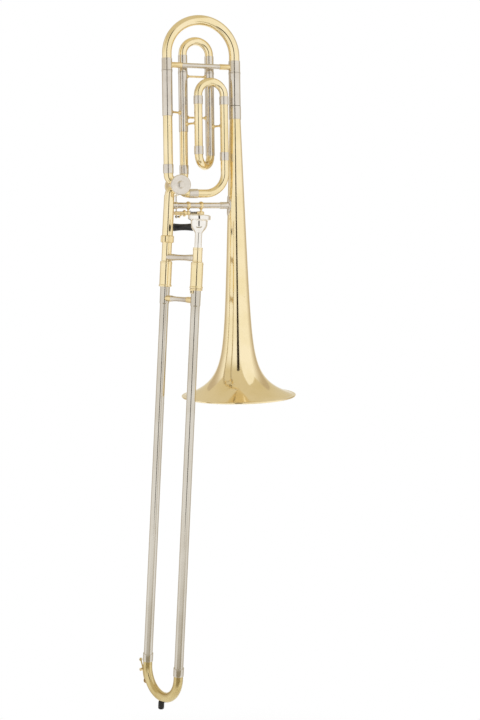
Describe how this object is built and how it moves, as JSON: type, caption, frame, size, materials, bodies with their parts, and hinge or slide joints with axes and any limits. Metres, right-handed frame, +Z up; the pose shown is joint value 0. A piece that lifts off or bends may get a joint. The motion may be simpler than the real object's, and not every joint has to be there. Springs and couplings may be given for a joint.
{
  "type": "tenor trombone",
  "caption": "Tenor trombone with an F attachment: flared bell, tuning slides, rotor valve with thumb lever and linkage, hand slide with braces, crook, water key and mouthpiece.",
  "frame": {"origin": "centre of the bell's mouth, where a stand's peg holds the bell", "axes": "+Z up the bell's axis from its mouth, the gooseneck lies towards -X, the rotor's front cap faces -Y"},
  "size_m": [0.295, 0.2098, 1.2301],
  "materials": {
    "lacquered_brass": "clear lacquer over polished yellow brass",
    "nickel_silver": "polished nickel silver",
    "silver_plate": "silver plate over brass",
    "spring_steel": "plain steel",
    "black_plastic": "satin black",
    "black_rubber": "matt black",
    "cork": "natural cork"
  },
  "bodies": {
    "bell_section": {"bell_flare": "lacquered_brass", "bell_tuning_sleeve": "nickel_silver", "neck_tuning_sleeve": "nickel_silver", "gooseneck_tube": "lacquered_brass", "gooseneck_ferrule": "nickel_silver", "rotor_casing": "lacquered_brass", "rotor_front_cap": "nickel_silver", "rotor_back_plate": "nickel_silver", "neckpipe": "lacquered_brass", "f_inlet_ferrule": "nickel_silver", "f_riser_tube": "lacquered_brass", "f_riser_sleeve": "nickel_silver", "f_return_sleeve": "nickel_silver", "f_rear_bow": "lacquered_brass", "f_front_left_tube": "lacquered_brass", "f_front_right_tube": "lacquered_brass", "f_front_bow": "lacquered_brass", "f_return_bend": "lacquered_brass", "f_outlet_ferrule": "nickel_silver", "brace_f_sleeves": "lacquered_brass", "brace_neck_riser": "lacquered_brass", "brace_riser_return": "lacquered_brass", "brace_riser_front": "lacquered_brass", "brace_return_front": "lacquered_brass", "bell_brace": "nickel_silver", "lever_post_left": "lacquered_brass", "lever_post_right": "lacquered_brass"},
    "main_tuning_slide": {"tuning_bow": "lacquered_brass", "tuning_leg_neck": "nickel_silver", "tuning_leg_bell": "nickel_silver", "tuning_brace": "nickel_silver"},
    "f_tuning_slide": {"f_bow": "lacquered_brass", "f_leg_left": "nickel_silver", "f_leg_right": "nickel_silver"},
    "thumb_lever": {"lever_shaft": "lacquered_brass", "thumb_lever": "lacquered_brass", "thumb_touch": "black_plastic", "crank_arm": "lacquered_brass", "lever_spring": "spring_steel"},
    "link": {"link_rod": "spring_steel"},
    "rotor": {"rotor": "lacquered_brass", "stop_arm": "spring_steel"},
    "lock_nut": {"bell_lock_nut": "lacquered_brass"},
    "inner_slide": {"slide_joint_tube": "lacquered_brass", "mouthpiece_receiver": "lacquered_brass", "barrel_neck": "lacquered_brass", "barrel_mouthpiece": "lacquered_brass", "inner_tube_neck": "nickel_silver", "inner_tube_mouthpiece": "nickel_silver", "inner_slide_brace": "nickel_silver"},
    "slide_lock": {"slide_lock_ring": "lacquered_brass"},
    "mouthpiece": {"mouthpiece": "silver_plate"},
    "outer_slide": {"outer_tube_neck": "nickel_silver", "outer_tube_mouthpiece": "nickel_silver", "outer_slide_brace": "nickel_silver", "slide_crook": "lacquered_brass", "bumper": "black_rubber"},
    "water_key": {"water_key_lever": "lacquered_brass", "water_key_cork": "cork", "water_key_spring": "spring_steel"}
  },
  "joints": [
    {"name": "main_tuning_slide_pull", "type": "slide", "parent": "bell_section", "child": "main_tuning_slide", "axis": [0, 0, 1], "range_m": [0, 0.045]},
    {"name": "f_tuning_slide_pull", "type": "slide", "parent": "bell_section", "child": "f_tuning_slide", "axis": [0, 0, 1], "range_m": [0, 0.02]},
    {"name": "rotor_turn", "type": "hinge", "parent": "bell_section", "child": "rotor", "pos_m": [-0.11, 0, 0.386], "axis": [0, -1, 0], "range_deg": [0, 90]},
    {"name": "thumb_lever_press", "type": "hinge", "parent": "bell_section", "child": "thumb_lever", "pos_m": [0, 0, 0.336], "axis": [1, 0, 0], "range_deg": [0, 15], "stiffness_Nm_per_rad": 0.25, "springref_deg": -14.32},
    {"name": "link_pivot", "type": "hinge", "parent": "thumb_lever", "child": "link", "pos_m": [-0.10403, 0.0376, 0.33105], "axis": [1, 0, 0], "range_deg": [-15, 0]},
    {"name": "lock_nut_turn", "type": "hinge", "parent": "bell_section", "child": "lock_nut", "pos_m": [-0.1306, 0, 0.29], "axis": [0.061, 0, 0.9981], "range_deg": [0, 360]},
    {"name": "slide_section_swivel", "type": "hinge", "parent": "bell_section", "child": "inner_slide", "pos_m": [-0.1306, 0, 0.29], "axis": [0.061, 0, 0.9981], "range_deg": [-25, 10]},
    {"name": "slide_lock_turn", "type": "hinge", "parent": "inner_slide", "child": "slide_lock", "pos_m": [-0.09408, -0.07672, 0.28777], "axis": [0.061, 0, 0.9981], "range_deg": [0, 60]},
    {"name": "mouthpiece_pull", "type": "slide", "parent": "inner_slide", "child": "mouthpiece", "axis": [0.061, 0, 0.9981], "range_m": [0, 0.025]},
    {"name": "hand_slide", "type": "slide", "parent": "inner_slide", "child": "outer_slide", "axis": [-0.061, 0, -0.9981], "range_m": [0, 0.62]},
    {"name": "water_key_press", "type": "hinge", "parent": "outer_slide", "child": "water_key", "pos_m": [-0.18294, 0.01099, -0.47986], "axis": [0.9009, 0.4305, -0.0551], "range_deg": [0, 15], "stiffness_Nm_per_rad": 0.03, "springref_deg": -17.19}
  ],
  "couplings": [
    {"joint": "thumb_lever_press", "follows": "rotor_turn", "ratio": 0.16667},
    {"joint": "link_pivot", "follows": "rotor_turn", "ratio": -0.16667}
  ]
}
